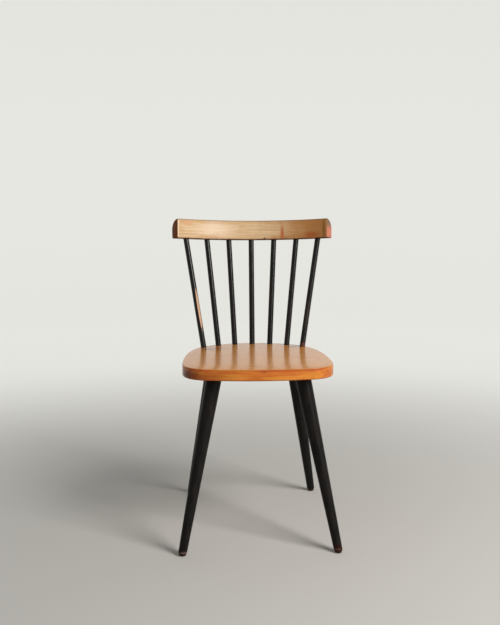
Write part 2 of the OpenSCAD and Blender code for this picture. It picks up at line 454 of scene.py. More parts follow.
@dataclass(frozen=True)
class RailWood:
    """Worn satin varnish over grain that follows the crest rail's curve.

    Attributes:
        attribute: The mesh attribute that holds the rail's straightened coordinates.
        half_run: Half the rail's length along its front face.
        height: The rail's height.
        ring_gap: Distance between growth rings.
    """

    attribute: str
    half_run: float
    height: float

    pale: Colour = tone(226, 200, 164)
    middle: Colour = tone(213, 182, 143)
    deep: Colour = tone(196, 156, 110)
    # Darker tone laid towards the right end as patina and painted shade, as mottling, and towards the top
    # and bottom of the front face
    tan_and_shade: Colour = tone(178, 122, 68)
    ruddy: Colour = tone(166, 72, 36)
    olive: Colour = tone(110, 80, 30)
    # Dark brown of pores, a small mark and the band along the bottom edge
    dark_brown: Colour = tone(78, 42, 20)
    # Pale grey laid as painted sheen on the upper part of the right end face and as painted reflection
    # along the top front edge
    dust: Colour = tone(120, 98, 76)
    left_end: Colour = tone(124, 60, 10)
    right_end: Colour = tone(194, 120, 98)
    ring_gap: float = 9 * MM

    def _stains_and_painted_light(self) -> tuple[StainOrLightPatch, ...]:
        """Stains, worn patches and two pale patches of painted light, placed along, behind and up the
        straightened rail.
        """
        return (
            StainOrLightPatch((0.087, 0, 0.018), (0.0075, 0.006, 0.036), self.ruddy, 0.85, 1.0),
            StainOrLightPatch((0.086, 0, 0.012), (0.0090, 0.006, 0.016), tone(196, 112, 60), 0.5, 0.9),
            StainOrLightPatch((0.172, 0, 0.010), (0.0340, 0.006, 0.016), tone(168, 80, 38), 0.65, 0.9),
            StainOrLightPatch((0.037, 0, 0.0015), (0.0045, 0.006, 0.0055), self.dark_brown, 0.95, 0.6),
            # Painted light: a pale patch over the left half of the front face, which turns towards the
            # lamps
            StainOrLightPatch((-0.105, 0, 0.026), (0.0850, 0.006, 0.034), tone(248, 226, 204), 0.6, 1.0),
            # Painted highlight: a pale line along the left front corner
            StainOrLightPatch((-0.2162, 0, 0.028), (0.0030, 0.003, 0.040), tone(252, 228, 196), 0.6, 0.7),
            StainOrLightPatch((-0.125, 0, 0.008), (0.0500, 0.006, 0.006), tone(206, 142, 84), 0.45, 1.0),
            StainOrLightPatch((-0.184, 0, 0.045), (0.0260, 0.006, 0.012), tone(214, 150, 108), 0.6, 0.9),
            StainOrLightPatch((-0.150, 0, 0.049), (0.0300, 0.006, 0.007), tone(200, 162, 96), 0.6, 0.8),
            StainOrLightPatch((0.209, 0, 0.026), (0.0065, 0.006, 0.040), self.olive, 0.6, 0.8),
        )

    def build(self) -> bpy.types.Material:
        """Makes the material.

        Returns:
            The material.
        """
        kit = ShaderKit("rail_wood")
        straight = kit.attribute(self.attribute)
        run, back, up = kit.parts(straight)

        sway = kit.noise(straight, (4, 14, 14), 2.0)
        rings = ((up + back * 0.35) * (math.tau / self.ring_gap) + sway * 14).wave() ** 1.4
        streaks = kit.noise(straight, (7, 330, 330), 5.0, 0.7)
        patches = kit.noise(straight, (18, 40, 60), 3.0)
        grain = rings * 0.16 + streaks.over(0.3, 0.72) * 0.84
        # Darker towards the right end: patina, and painted shade where the hollow face turns from the
        # lamps; also darker behind the front face
        age_and_shade = (run + patches * 0.12 - 0.06).over(-0.02, 0.19)
        age_and_shade = age_and_shade * (0.8 + streaks * 0.4) + back.over(2 * MM, 6 * MM) * 0.45
        mottle = kit.noise(straight, (26, 55, 55), 3.0, 0.6).over(0.5, 0.72)
        edges = up.over(11 * MM, 2 * MM) + up.over(self.height - 14 * MM, self.height)
        colour = kit.layers(
            kit.ramp(grain, [(0.1, self.pale), (0.5, self.middle), (0.95, self.deep)]),
            (self.tan_and_shade, age_and_shade.over(0.0, 1.15)),
            (self.tan_and_shade, mottle * 0.35 + edges * 0.3),
        )
        colour = with_stains_and_painted_light(kit, straight, colour, self._stains_and_painted_light())

        first, last = self.half_run - 1.2 * MM, self.half_run - 0.2 * MM
        left, right = ((run * side).over(first, last) for side in (-1, 1))
        # painted sheen over the upper part of the right end face
        right_end_with_sheen = kit.blend(self.right_end, self.dust, up.over(0.35 * self.height, 0.8 * self.height))
        # rubbed: noise that makes the bands along the bottom and top edges uneven
        rubbed = kit.noise(straight, (60, 200, 200)).over(0.25, 0.55)
        # darker along the bottom edge, made uneven by noise
        lower = up.over(3.4 * MM, 1.2 * MM) * (0.35 + rubbed * 0.6)
        # painted reflection along the top front edge, made uneven by noise
        upper = up.over(self.height - 3.0 * MM, self.height - 1.0 * MM) * (0.6 + rubbed * 0.35)
        pores = kit.noise(straight, (80, 1400, 1400), 2.0).over(0.62, 0.74)
        colour = kit.layers(
            colour, (self.left_end, left), (right_end_with_sheen, right),
            (self.dark_brown, lower), (self.dust, upper), (self.dark_brown, pores * 0.3),
        )

        scuffs = kit.noise(straight, (40, 120, 120), 4.0, 0.6)
        height = kit.noise(straight, 16, 1.0) * 0.7 + streaks * 0.2 - pores * 0.1
        return kit.finish({
            "Base Color": colour,
            "Roughness": 0.42 + scuffs * 0.2,
            "Specular IOR Level": 0.16,
            "Normal": kit.relief(height, 0.25 * MM),
        })


@dataclass(frozen=True)
class Chip:
    """A place where paint has come off down to the wood.

    Attributes:
        low: Where it starts along the rod, 0 to 1.
        high: Where it ends along the rod, 0 to 1.
        facing: Direction round the rod that it faces.
        spread: How far round it reaches at its middle, from -1 for all round to 1 for nothing.
        cover: How complete it is.
        colour: What shows.
    """

    low: float
    high: float
    facing: tuple[float, float, float]
    spread: float
    cover: float
    colour: Colour


@dataclass(frozen=True)
class BlackPaint:
    """Black paint on turned wood, worn off in places.

    Attributes:
        roughness: Roughness of the sound paint.
        shine: Strength of its reflections, 0.5 for a usual gloss.
        film: Colour of the sound paint.
        faded: Its colour where dust has dulled it.
    """

    name: str
    roughness: float
    shine: float
    chips: tuple[Chip, ...] = ()
    film: Colour = tone(20, 19, 19)
    faded: Colour = tone(34, 30, 28)

    def build(self) -> bpy.types.Material:
        """Makes the material.

        Returns:
            The material.
        """
        kit = ShaderKit(self.name)
        place = kit.place()
        along = Amount(kit, kit.attribute(TurnedPiece.ALONG, "Fac"))
        around = kit.attribute(TurnedPiece.AROUND)
        girth = kit.vector_maths("MULTIPLY", around, (2.5, 2.5, 1))
        lengthwise = kit.node("ShaderNodeCombineXYZ", None, {2: along * 5}).outputs[0]
        brushed = kit.noise(kit.vector_maths("ADD", girth, lengthwise), 1.0, 4.0, 0.6)
        # noise for where dust dulls the paint
        dust = kit.noise(place, (70, 70, 24), 3.0)
        colour = kit.ramp(dust, [(0.3, self.film), (0.75, self.faded)])
        bare: Amount | float = 0.0
        for chip in self.chips:
            side = kit.measure("DOT_PRODUCT", around, chip.facing)
            ragged = kit.noise(place, (500, 500, 60), 4.0, 0.65) - 0.5
            middle, half = (chip.low + chip.high) / 2, (chip.high - chip.low) / 2
            off = (along - middle) * (1 / half) + ragged * 0.3
            edge = (off * off) * (1 - chip.spread) + chip.spread
            mask = (side + ragged * 0.05 - edge).over(-0.01, 0.02) * chip.cover
            colour = kit.blend(colour, chip.colour, mask)
            bare = mask + bare
        height = brushed * 0.3 + kit.noise(place, 60, 2.0) * 0.4 - bare * 0.5
        return kit.finish({
            "Base Color": colour,
            "Roughness": self.roughness + brushed * 0.1 + bare * 0.3,
            "Specular IOR Level": self.shine,
            "Normal": kit.relief(height, 0.1 * MM),
        })


@dataclass(frozen=True)
class ScuffedGlide:
    """Dark brown moulded glide, scuffed pale in places."""

    body: Colour = tone(38, 15, 10)
    scuffed: Colour = tone(72, 44, 35)

    def build(self) -> bpy.types.Material:
        """Makes the material.

        Returns:
            The material.
        """
        kit = ShaderKit("scuffed_glide")
        place = kit.place()
        scuffs = kit.noise(place, (300, 300, 700), 4.0, 0.6).over(0.5, 0.68)
        colour = kit.blend(self.body, self.scuffed, scuffs * 0.6)
        return kit.finish({
            "Base Color": colour,
            "Roughness": 0.48 + scuffs * 0.25,
            "Specular IOR Level": 0.3,
            "Normal": kit.relief(1 - scuffs, 0.15 * MM),
        })


@dataclass(frozen=True)
class NailSteel:
    """Plain drawn wire of the glide nails."""

    body: Colour = (0.42, 0.42, 0.44)
    tarnish: Colour = (0.22, 0.19, 0.17)

    def build(self) -> bpy.types.Material:
        """Makes the material.

        Returns:
            The material.
        """
        kit = ShaderKit("nail_steel")
        drawn = kit.noise(kit.place(), (2500, 2500, 120), 3.0)
        colour = kit.blend(self.body, self.tarnish, drawn.over(0.5, 0.75))
        return kit.finish({
            "Base Color": colour,
            "Metallic": 1.0,
            "Roughness": 0.28 + drawn * 0.25,
            "Normal": kit.relief(drawn, 0.05 * MM),
        })


@dataclass(frozen=True)
class StagePlaster:
    """Plain pale finish of the floor and backdrop, which glows softly behind the chair.

    Attributes:
        floor: Its colour round the chair.
        backdrop: Its colour far from the chair.
        glow: Its glow behind the chair.
        dusk: Its glow in front of the chair.
        depth: Distance over which the glow changes from front to rear.
        calm: Radius round the chair that does not glow.
        reach: Radius from which the glow is full.
    """

    floor: Colour = (0.62, 0.61, 0.59)
    backdrop: Colour = (0.24, 0.24, 0.23)
    glow: Colour = (0.64, 0.64, 0.61)
    dusk: Colour = (0.20, 0.20, 0.19)
    depth: float = 2.4
    calm: float = 0.1
    reach: float = 2.2

    def build(self) -> bpy.types.Material:
        """Makes the material.

        Returns:
            The material.
        """
        kit = ShaderKit("stage_plaster")
        _, y, _ = kit.parts(kit.place())
        away = kit.measure("LENGTH", kit.place()).over(self.calm, self.reach)
        glow = kit.blend(self.dusk, self.glow, y.over(-self.depth, self.depth))
        return kit.finish({
            "Base Color": kit.blend(self.floor, self.backdrop, away),
            "Roughness": 0.85,
            "Specular IOR Level": 0.2,
            "Emission Color": kit.blend((0, 0, 0), glow, away),
            "Emission Strength": 1.0,
        })


# ---- pieces ----


def hand_over(piece: bpy.types.Object, node: str) -> None:
    """Ties a finished piece to the CAD frame and reports it.

    Args:
        piece: The finished piece.
        node: The CAD node that it stands for.
    """
    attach(piece, "root")
    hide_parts(node)
    LOG.info("%s: %d faces, stands for %s", piece.name, len(piece.data.polygons), node)


def new_piece(name: str, mesh: bpy.types.Mesh) -> bpy.types.Object:
    """Puts a mesh, in the chair's frame, into the scene as an object at the origin."""
    mesh.name = name
    return put_in_scene(name, mesh)


def put_in_scene(name: str, data: bpy.types.ID) -> bpy.types.Object:
    """Makes an object of a mesh, a lamp or a camera.

    Args:
        name: The object's name.
        data: The mesh, lamp or camera.

    Returns:
        The object.
    """
    made = bpy.data.objects.new(name, data)
    bpy.context.scene.collection.objects.link(made)
    return made


def loft(rings: Sequence[Sequence[bmesh.types.BMVert]], shape: bmesh.types.BMesh) -> None:
    """Skins closed rings of points and closes both ends.

    Args:
        rings: The rings in order, each with as many points.
        shape: The shape that holds their points.
    """
    count = len(rings[0])
    for lower, upper in zip(rings, rings[1:]):
        for i in range(count):
            j = (i + 1) % count
            shape.faces.new((lower[i], lower[j], upper[j], upper[i]))
    shape.faces.new(list(reversed(rings[0])))
    shape.faces.new(rings[-1])


def smooth_mesh(shape: bmesh.types.BMesh, name: str) -> bpy.types.Mesh:
    """Turns a shape into a smooth-shaded mesh with its faces pointing outwards.

    Args:
        shape: The shape, which is used up.
        name: The mesh's name.

    Returns:
        The mesh.
    """
    bmesh.ops.recalc_face_normals(shape, faces=shape.faces)
    for face in shape.faces:
        face.smooth = True
    mesh = bpy.data.meshes.new(name)
    shape.to_mesh(mesh)
    shape.free()
    return mesh


def settle(source: bpy.types.Object, name: str) -> bpy.types.Object:
    """Turns an object with live modifiers into a plain mesh object.

    Args:
        source: The object, which is removed.
        name: The plain object's name.

    Returns:
        The plain object.
    """
    depsgraph = bpy.context.evaluated_depsgraph_get()
    mesh = bpy.data.meshes.new_from_object(source.evaluated_get(depsgraph))
    bpy.data.objects.remove(source)
    return new_piece(name, mesh)


def quarter_turn(steps: int) -> list[float]:
    """Angles from 0 to a right angle in even steps."""
    return [math.pi / 2 * i / steps for i in range(steps + 1)]


def bezier(points: Sequence[Vector], share: float) -> Vector:
    """A point of a cubic curve.

    Args:
        points: Its four control points.
        share: How far along, 0 to 1.

    Returns:
        The point.
    """
    rest = 1 - share
    weights = (rest**3, 3 * share * rest**2, 3 * share**2 * rest, share**3)
    return sum((w * p for w, p in zip(weights, points)), Vector((0, 0)))


@dataclass(frozen=True)
class SeatPlan:
    """The seat's outline seen from above, from the CAD boards' boxes and a few driving sizes.

    Attributes:
        front_r: Radius of the bowed front edge.
        widest: Distance of the widest place behind the front edge.
        corner: Part of each side taken up by a rounded front corner.
        corner_pull: Pull of that corner's curve towards its square corner.
        side_run: How far the sides run back before they turn in.
        rear_run: How softly the rear corners run into the rear edge.
        row_turn: Turn from the middle of the spindle row to its outer spindles.
        row_side_in: Distance from the widest side to the outer spindles' axes.
        row_rear_in: Distance from the rear edge to the spindles' axes.
        spare_turn: Arc left plain between the outer spindle and the rear corner's curve.
    """

    front_r: float = 0.700
    widest: float = 0.090
    corner: float = 0.062
    corner_pull: float = 0.65
    side_run: float = 0.135
    rear_run: float = 0.050
    row_turn: float = math.radians(41.2)
    row_side_in: float = 0.053
    row_rear_in: float = 0.014
    spare_turn: float = math.radians(7)

    def half(self, width: float, depth: float, steps: int) -> list[Vector]:
        """Right half of the outline, from the front middle to the rear middle, front edge at y = 0.

        Args:
            width: The seat's greatest width.
            depth: The seat's depth.
            steps: Steps along each stretch.

        Returns:
            The points.
        """
        shares = [i / steps for i in range(steps)]
        half_w = width / 2
        front_turn = math.asin((half_w - self.corner) / self.front_r)
        front_middle = Vector((0, self.front_r))
        rear_r = (half_w - self.row_side_in) / math.sin(self.row_turn) + self.row_rear_in
        rear_turn = self.row_turn - self.spare_turn
        rear_middle = Vector((0, depth - rear_r))

        start = front_middle + self.front_r * Vector((math.sin(front_turn), -math.cos(front_turn)))
        tip = Vector((half_w, start.y + self.corner * math.tan(front_turn)))
        wide = Vector((half_w, self.widest))
        pull = self.corner_pull
        corner = (start, start.lerp(tip, pull), wide.lerp(tip, pull), wide)
        end = rear_middle + rear_r * Vector((math.sin(rear_turn), math.cos(rear_turn)))
        tangent = Vector((math.cos(rear_turn), -math.sin(rear_turn)))
        side = (wide, wide + Vector((0, self.side_run)), end + self.rear_run * tangent, end)

        def arc(middle: Vector, radius: float, turn: float, sign: int) -> Vector:
            """A point of an arc, turned from straight ahead or behind."""
            return middle + radius * Vector((math.sin(turn), sign * math.cos(turn)))

        points = [arc(front_middle, self.front_r, front_turn * s, -1) for s in shares]
        points += [bezier(corner, s) for s in shares]
        points += [bezier(side, s) for s in shares]
        points += [arc(rear_middle, rear_r, rear_turn * (1 - s), 1) for s in [*shares, 1]]
        return points

    def outline(self, width: float, depth: float, steps: int) -> list[Vector]:
        """The whole outline, anticlockwise from the front middle, for the same sizes as its half."""
        half = self.half(width, depth, steps)
        return half + [Vector((-p.x, p.y)) for p in reversed(half[1:-1])]


@dataclass
class Seat:
    """The seat: four boards glued edge to edge, with their outer edges rounded.

    Attributes:
        plan: The outline's rule.
        boards: The CAD nodes from front to rear.
        edge_r: Rounding of the top and bottom edges.
        steps: Steps along each stretch of the outline.
        edge_steps: Steps round an edge.
        sharp_turn: Turn between two faces from which their edge looks sharp.
    """

    plan: SeatPlan = field(default_factory=SeatPlan)
    boards: tuple[str, ...] = tuple(f"seat_{place}_board" for place in ("front", "second", "third", "rear"))
    edge_r: float = 3 * MM
    steps: int = 28
    edge_steps: int = 6
    sharp_turn: float = math.radians(35)

    def __post_init__(self) -> None:
        """Reads the seat's overall box from its CAD boards."""
        boxes = [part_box(node) for node in self.boards]
        self.low = Vector([min(box[0][axis] for box in boxes) for axis in range(3)])
        self.high = Vector([max(box[1][axis] for box in boxes) for axis in range(3)])
        self.board_w = (self.high.y - self.low.y) / len(self.boards)

    def _rings(self) -> list[list[Vector]]:
        """The seat's surface as rings of points.

        Returns:
            The rings from the lower face to the upper face.
        """
        flat = self.plan.outline(self.high.x - self.low.x, self.high.y - self.low.y, self.steps)
        count = len(flat)
        outward = []
        for i in range(count):
            run = flat[(i + 1) % count] - flat[i - 1]
            outward.append(Vector((run.y, -run.x)).normalized())
        turns = quarter_turn(self.edge_steps)
        levels = [(1 - math.sin(a), self.low.z + self.edge_r * (1 - math.cos(a))) for a in turns]
        levels += [(1 - math.cos(a), self.high.z - self.edge_r * (1 - math.sin(a))) for a in turns]
        return [
            [Vector((*(p - inset * self.edge_r * out), z)) + Vector((0, self.low.y, 0))
             for p, out in zip(flat, outward)]
            for inset, z in levels
        ]

    def _blank(self) -> bmesh.types.BMesh:
        """Makes the whole seat before it is parted into boards.

        Returns:
            The seat's shape.
        """
        shape = bmesh.new()
        loft([[shape.verts.new(p) for p in ring] for ring in self._rings()], shape)
        return shape

    def _board_mesh(self, index: int) -> bpy.types.Mesh:
        """One board, cut out of the blank and closed.

        Args:
            index: The board's number from the front.

        Returns:
            The mesh.
        """
        shape = self._blank()
        for number, keep_behind in ((index, True), (index + 1, False)):
            if number in (0, len(self.boards)):
                continue
            geometry = shape.verts[:] + shape.edges[:] + shape.faces[:]
            found = bmesh.ops.bisect_plane(
                shape, geom=geometry, dist=TOUCH, plane_co=(0, self.low.y + number * self.board_w, 0),
                plane_no=(0, 1, 0), clear_inner=keep_behind, clear_outer=not keep_behind,
            )
            rim = [e for e in found["geom_cut"] if isinstance(e, bmesh.types.BMEdge)]
            bmesh.ops.contextual_create(shape, geom=rim)
        mesh = smooth_mesh(shape, self.boards[index])
        mesh.set_sharp_from_angle(angle=self.sharp_turn)
        return mesh

    def _stains_and_painted_light(self) -> tuple[StainOrLightPatch, ...]:
        """Stains in the varnish, and patches of painted light and shade on the front edge.

        Returns:
            The stains of the top, then the patches of the front edge: a small dark mark, painted shade
            towards its left corner, painted light right of its middle and a darker patch at its right
            corner.
        """
        top, front, rear = self.high.z, self.low.y, self.high.y
        red, brown, dark = tone(130, 46, 16), tone(116, 62, 30), tone(84, 46, 24)
        return (
            StainOrLightPatch((-0.105, rear - 0.080, top), (0.055, 0.050, 0.004), red, 0.5, 1.0),
            StainOrLightPatch((-0.122, rear - 0.098, top), (0.022, 0.016, 0.004), red, 0.8, 0.8),
            StainOrLightPatch((0.112, rear - 0.066, top), (0.024, 0.032, 0.004), brown, 0.65, 0.9),
            StainOrLightPatch((-0.045, rear - 0.170, top), (0.004, 0.010, 0.004), brown, 0.6, 0.8),
            StainOrLightPatch((0.010, front, top - 0.005), (0.009, 0.006, 0.0022), dark, 0.55, 0.8),
            # Painted shade: dark brown at the front edge's left corner, which faces away from the lamps
            StainOrLightPatch((-0.176, front + 0.050, top - 0.018), (0.060, 0.080, 0.020), tone(88, 30, 6), 0.92, 0.9),
            # Painted shade: a wider, lighter brown over the left part of the front edge
            StainOrLightPatch((-0.120, front + 0.016, top - 0.018), (0.085, 0.060, 0.020), tone(140, 58, 18), 0.6, 1.0),
            # Painted light: a paler honey patch right of the front edge's middle
            StainOrLightPatch((0.130, front + 0.012, top - 0.012), (0.046, 0.020, 0.008), tone(214, 136, 54), 0.5, 0.9),
            # A darker patch at the front edge's right corner
            StainOrLightPatch((0.180, front + 0.050, top - 0.014), (0.070, 0.080, 0.020), tone(178, 98, 38), 0.7, 1.0),
        )

    def build(self) -> None:
        """Makes, dresses and hands over the boards."""
        for index, node in enumerate(self.boards):
            joints = [k for k in (index, index + 1) if 0 < k < len(self.boards)]
            seams = tuple(self.low.y + k * self.board_w for k in joints)
            finish = SeatWood(index, seams, self.low.z, self.high.z, self._stains_and_painted_light())
            piece = new_piece(f"varnished_{node}", self._board_mesh(index))
            piece.data.materials.append(finish.build())
            hand_over(piece, node)


@dataclass
class CrestRail:
    """The crest rail: an arc swept along a crowned section and leaning back.

    Attributes:
        width: Straight distance between the ends of the front face.
        height: The section's height.
        depth: The section's greatest thickness.
        radius: Radius of the hollow front face.
        belly: Height of the thickest place.
        heel_in: How much thinner the lower edge is.
        heel_r: Rounding of the lower rear edge.
        lean: Lean from upright.
        setback: Distance of the front face behind the seat.
        lift: Height of the lower edge above the seat.
        soft_r: Softening of the sharp edges.
        steps: Steps along the rail.
        soft_turn: Turn between two faces from which their edge is softened.
        sharp_turn: Turn between two faces from which their edge looks sharp.
    """

    seat: Seat
    width: float = 0.410
    height: float = 0.0535
    depth: float = 0.0274
    radius: float = 0.350
    belly: float = 0.024
    heel_in: float = 0.001
    heel_r: float = 0.004
    lean: float = math.radians(8)
    setback: float = 0.027
    lift: float = 0.288
    soft_r: float = 1.4 * MM
    steps: int = 90
    heel_steps: int = 6
    crown_steps: int = 24
    soft_turn: float = math.radians(35)
    sharp_turn: float = math.radians(40)

    STRAIGHT = "straight"

    def _section(self) -> list[Point2]:
        """The section across the rail.

        Returns:
            Its points in order, each as distance behind the front face and height.
        """
        low = self.depth - self.heel_in
        heel, crown = quarter_turn(self.heel_steps), quarter_turn(self.crown_steps)
        points = [(0.0, 0.0)]
        points += [(low - self.heel_r * (1 - math.sin(a)), self.heel_r * (1 - math.cos(a))) for a in heel]
        points += [
            (self.depth * math.cos(a), self.belly + (self.height - self.belly) * math.sin(a)) for a in crown
        ]
        points[-1] = (0.0, self.height)
        return points

    @property
    def half_turn(self) -> float:
        """Angle from the rail's middle to its ends."""
        return math.asin(self.width / 2 / self.radius)

    def point(self, turn: float, back: float, up: float) -> Vector:
        """The place of a point that lies a turn from the middle, behind the front face and up the rail."""
        reach = (self.radius + back) * math.cos(turn) - self.radius
        return Vector((
            (self.radius + back) * math.sin(turn),
            self.seat.high.y + self.setback + reach * math.cos(self.lean) + up * math.sin(self.lean),
            self.seat.high.z + self.lift - reach * math.sin(self.lean) + up * math.cos(self.lean),
        ))

    def _swept(self) -> bpy.types.Mesh:
        """Sweeps the section along the rail.

        Returns:
            The rail before its edges are softened.
        """
        section = self._section()
        shape = bmesh.new()
        layer = shape.verts.layers.float_vector.new(self.STRAIGHT)
        rings = []
        for step in range(self.steps + 1):
            turn = self.half_turn * (2 * step / self.steps - 1)
            ring = []
            for back, up in section:
                vertex = shape.verts.new(self.point(turn, back, up))
                vertex[layer] = Vector((turn * self.radius, back, up))
                ring.append(vertex)
            rings.append(ring)
        loft(rings, shape)
        return smooth_mesh(shape, "crest_rail_swept")

    def build(self) -> None:
        """Makes, dresses and hands over the rail."""
        rough = new_piece("crest_rail_swept", self._swept())
        soften = rough.modifiers.new("soften", "BEVEL")
        soften.width = self.soft_r
        soften.segments = 3
        soften.limit_method = "ANGLE"
        soften.angle_limit = self.soft_turn
        finish = RailWood(self.STRAIGHT, self.half_turn * self.radius, self.height)
        rough.data.materials.append(finish.build())
        piece = settle(rough, "varnished_crest_rail")
        piece.data.set_sharp_from_angle(angle=self.sharp_turn)
        hand_over(piece, "crest_rail")


class FieldKit(NodeKit):
    """Builds a Geometry Nodes tree."""

    def __init__(self, name: str, inputs: Mapping[str, str]) -> None:
        """Makes a tree with named inputs.

        Args:
            name: The tree's name.
            inputs: Kinds of socket by input name.
        """
        super().__init__(bpy.data.node_groups.new(name, "GeometryNodeTree"))
        for label, kind in inputs.items():
            self.tree.interface.new_socket(label, in_out="INPUT", socket_type=f"NodeSocket{kind}")
        self.tree.interface.new_socket("Geometry", in_out="OUTPUT", socket_type="NodeSocketGeometry")
        self.given = self.tree.nodes.new("NodeGroupInput").outputs

    def amount(self, name: str) -> Amount:
        """A number among the tree's inputs."""
        return Amount(self, self.given[name])

    def longer(self, vector: Any, factor: Amount) -> bpy.types.NodeSocket:
        """A vector times a number."""
        inputs = {0: vector, "Scale": factor}
        return self.node("ShaderNodeVectorMath", {"operation": "SCALE"}, inputs).outputs["Vector"]

    def shape(self, kind: str, shape: Any, inputs: Mapping[str, Any], **settings: str) -> Any:
        """A shape passed through one more node, with that node's other inputs and settings."""
        return self.node(kind, settings, {"Geometry": shape, **inputs}).outputs[0]


@dataclass(frozen=True)
class TurnedPiece:
    """A round piece turned on a lathe, set at a slant, with both ends cut level.

    The inputs of its Geometry Nodes tree are named after these fields.

    Attributes:
        start: Middle of the lower end.
        end: Middle of the upper end.
        start_radius: Radius at the lower end.
        end_radius: Radius at the upper end.
        start_rounding: Rounding of the lower edge.
        crowding: How strongly the rings crowd towards the lower end, from 1 for evenly.
        sides: Sides round the piece.
        rings: Rings along the piece.
    """

    start: Vector
    end: Vector
    start_radius: float
    end_radius: float
    start_rounding: float = 0.0
    crowding: float = 1.0
    sides: int = 48
    rings: int = 40

    ALONG = "along"
    AROUND = "around"
    TREE = "turned_piece"
    INPUTS = {
        "Start": "Vector", "End": "Vector", "Start Radius": "Float", "End Radius": "Float",
        "Start Rounding": "Float", "Crowding": "Float", "Sides": "Int", "Rings": "Int",
        "Finish": "Material",
    }

    @classmethod
    def tree(cls) -> bpy.types.NodeTree:
        """The Geometry Nodes tree that all turned pieces share, made at its first use.

        Returns:
            The tree.
        """
        made = bpy.data.node_groups.get(cls.TREE)
        if made:
            return made
        kit = FieldKit(cls.TREE, cls.INPUTS)
        given = kit.given
        tube = kit.node(
            "GeometryNodeMeshCylinder",
            {"fill_type": "NGON"},
            {"Vertices": given["Sides"], "Side Segments": given["Rings"], "Radius": 1.0, "Depth": 1.0},
        )
        place = kit.node("GeometryNodeInputPosition").outputs[0]
        _, _, up = kit.parts(place)
        along = (up + 0.5) ** kit.amount("Crowding")
        around = kit.vector_maths("MULTIPLY", place, (1, 1, 0))

        lean = kit.vector_maths("SUBTRACT", given["End"], given["Start"])
        _, _, rise = kit.parts(lean)
        tilt = kit.vector_maths("NORMALIZE", kit.vector_maths("MULTIPLY", lean, (1, 1, 0)))
        stretch = kit.measure("LENGTH", lean) / rise - 1.0

        start_r, rounding = kit.amount("Start Radius"), kit.amount("Start Rounding")
        inside = (1.0 - rise * along / rounding).at_least(0.0)
        trim = rounding * (1.0 - (1.0 - inside * inside).root())
        radius = (kit.amount("End Radius") - start_r) * along + start_r - trim

        ring = kit.longer(around, radius)
        slant = kit.longer(tilt, kit.measure("DOT_PRODUCT", ring, tilt) * stretch)
        axis = kit.vector_maths("ADD", given["Start"], kit.longer(lean, along))
        target = kit.vector_maths("ADD", axis, kit.vector_maths("ADD", ring, slant))

        store = "GeometryNodeStoreNamedAttribute"
        named = {"Name": cls.ALONG, "Value": along}
        shape = kit.shape(store, tube.outputs["Mesh"], named, data_type="FLOAT", domain="POINT")
        named = {"Name": cls.AROUND, "Value": around}
        shape = kit.shape(store, shape, named, data_type="FLOAT_VECTOR", domain="POINT")
        smooth = {"Selection": tube.outputs["Side"], "Shade Smooth": True}
        shape = kit.shape("GeometryNodeSetShadeSmooth", shape, smooth)
        shape = kit.shape("GeometryNodeSetPosition", shape, {"Position": target})
        shape = kit.shape("GeometryNodeRealizeInstances", shape, {})
        shape = kit.shape("GeometryNodeSetMaterial", shape, {"Material": given["Finish"]})
        kit.node("NodeGroupOutput", None, {0: shape})
        return kit.tree

    def make(self, name: str, finish: bpy.types.Material) -> bpy.types.Object:
        """Turns the piece.

        Args:
            name: The piece's name.
            finish: Its material.

        Returns:
            A plain mesh object.
        """
        holder = new_piece(f"{name}_blank", bpy.data.meshes.new(f"{name}_blank"))
        lathe = holder.modifiers.new("lathe", "NODES")
        lathe.node_group = self.tree()
        for socket in lathe.node_group.interface.items_tree:
            if socket.in_out == "INPUT":
                size = getattr(self, socket.name.lower().replace(" ", "_"), finish)
                lathe[socket.identifier] = size
        holder.update_tag()
        return settle(holder, name)


def rod_axis(node: str, radius: float, side: int) -> tuple[Vector, Vector]:
    """Ends of a straight round rod's axis, from its CAD box.

    Args:
        node: The CAD node, a cylinder that leans outwards and back.
        radius: Its radius.
        side: -1 if it leans to the left, 1 to the right, 0 if upright from the front.

    Returns:
        Middles of its lower and upper ends.
    """
    low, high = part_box(node)
    foot = Vector((low.x if side >= 0 else high.x, low.y, low.z))
    head = Vector((high.x if side >= 0 else low.x, high.y, high.z))
    inward = Vector((side, 1, 1))
    if side == 0:
        foot.x = head.x = (low.x + high.x) / 2
    corner_foot, corner_head = foot.copy(), head.copy()
    for _ in range(AXIS_ROUNDS):
        run = (head - foot).normalized()
        reach = Vector([radius * math.sqrt(max(0.0, 1 - run[axis] ** 2)) for axis in range(3)])
        foot = corner_foot + Vector([inward[axis] * reach[axis] for axis in range(3)])
        head = corner_head - Vector([inward[axis] * reach[axis] for axis in range(3)])
    return foot, head


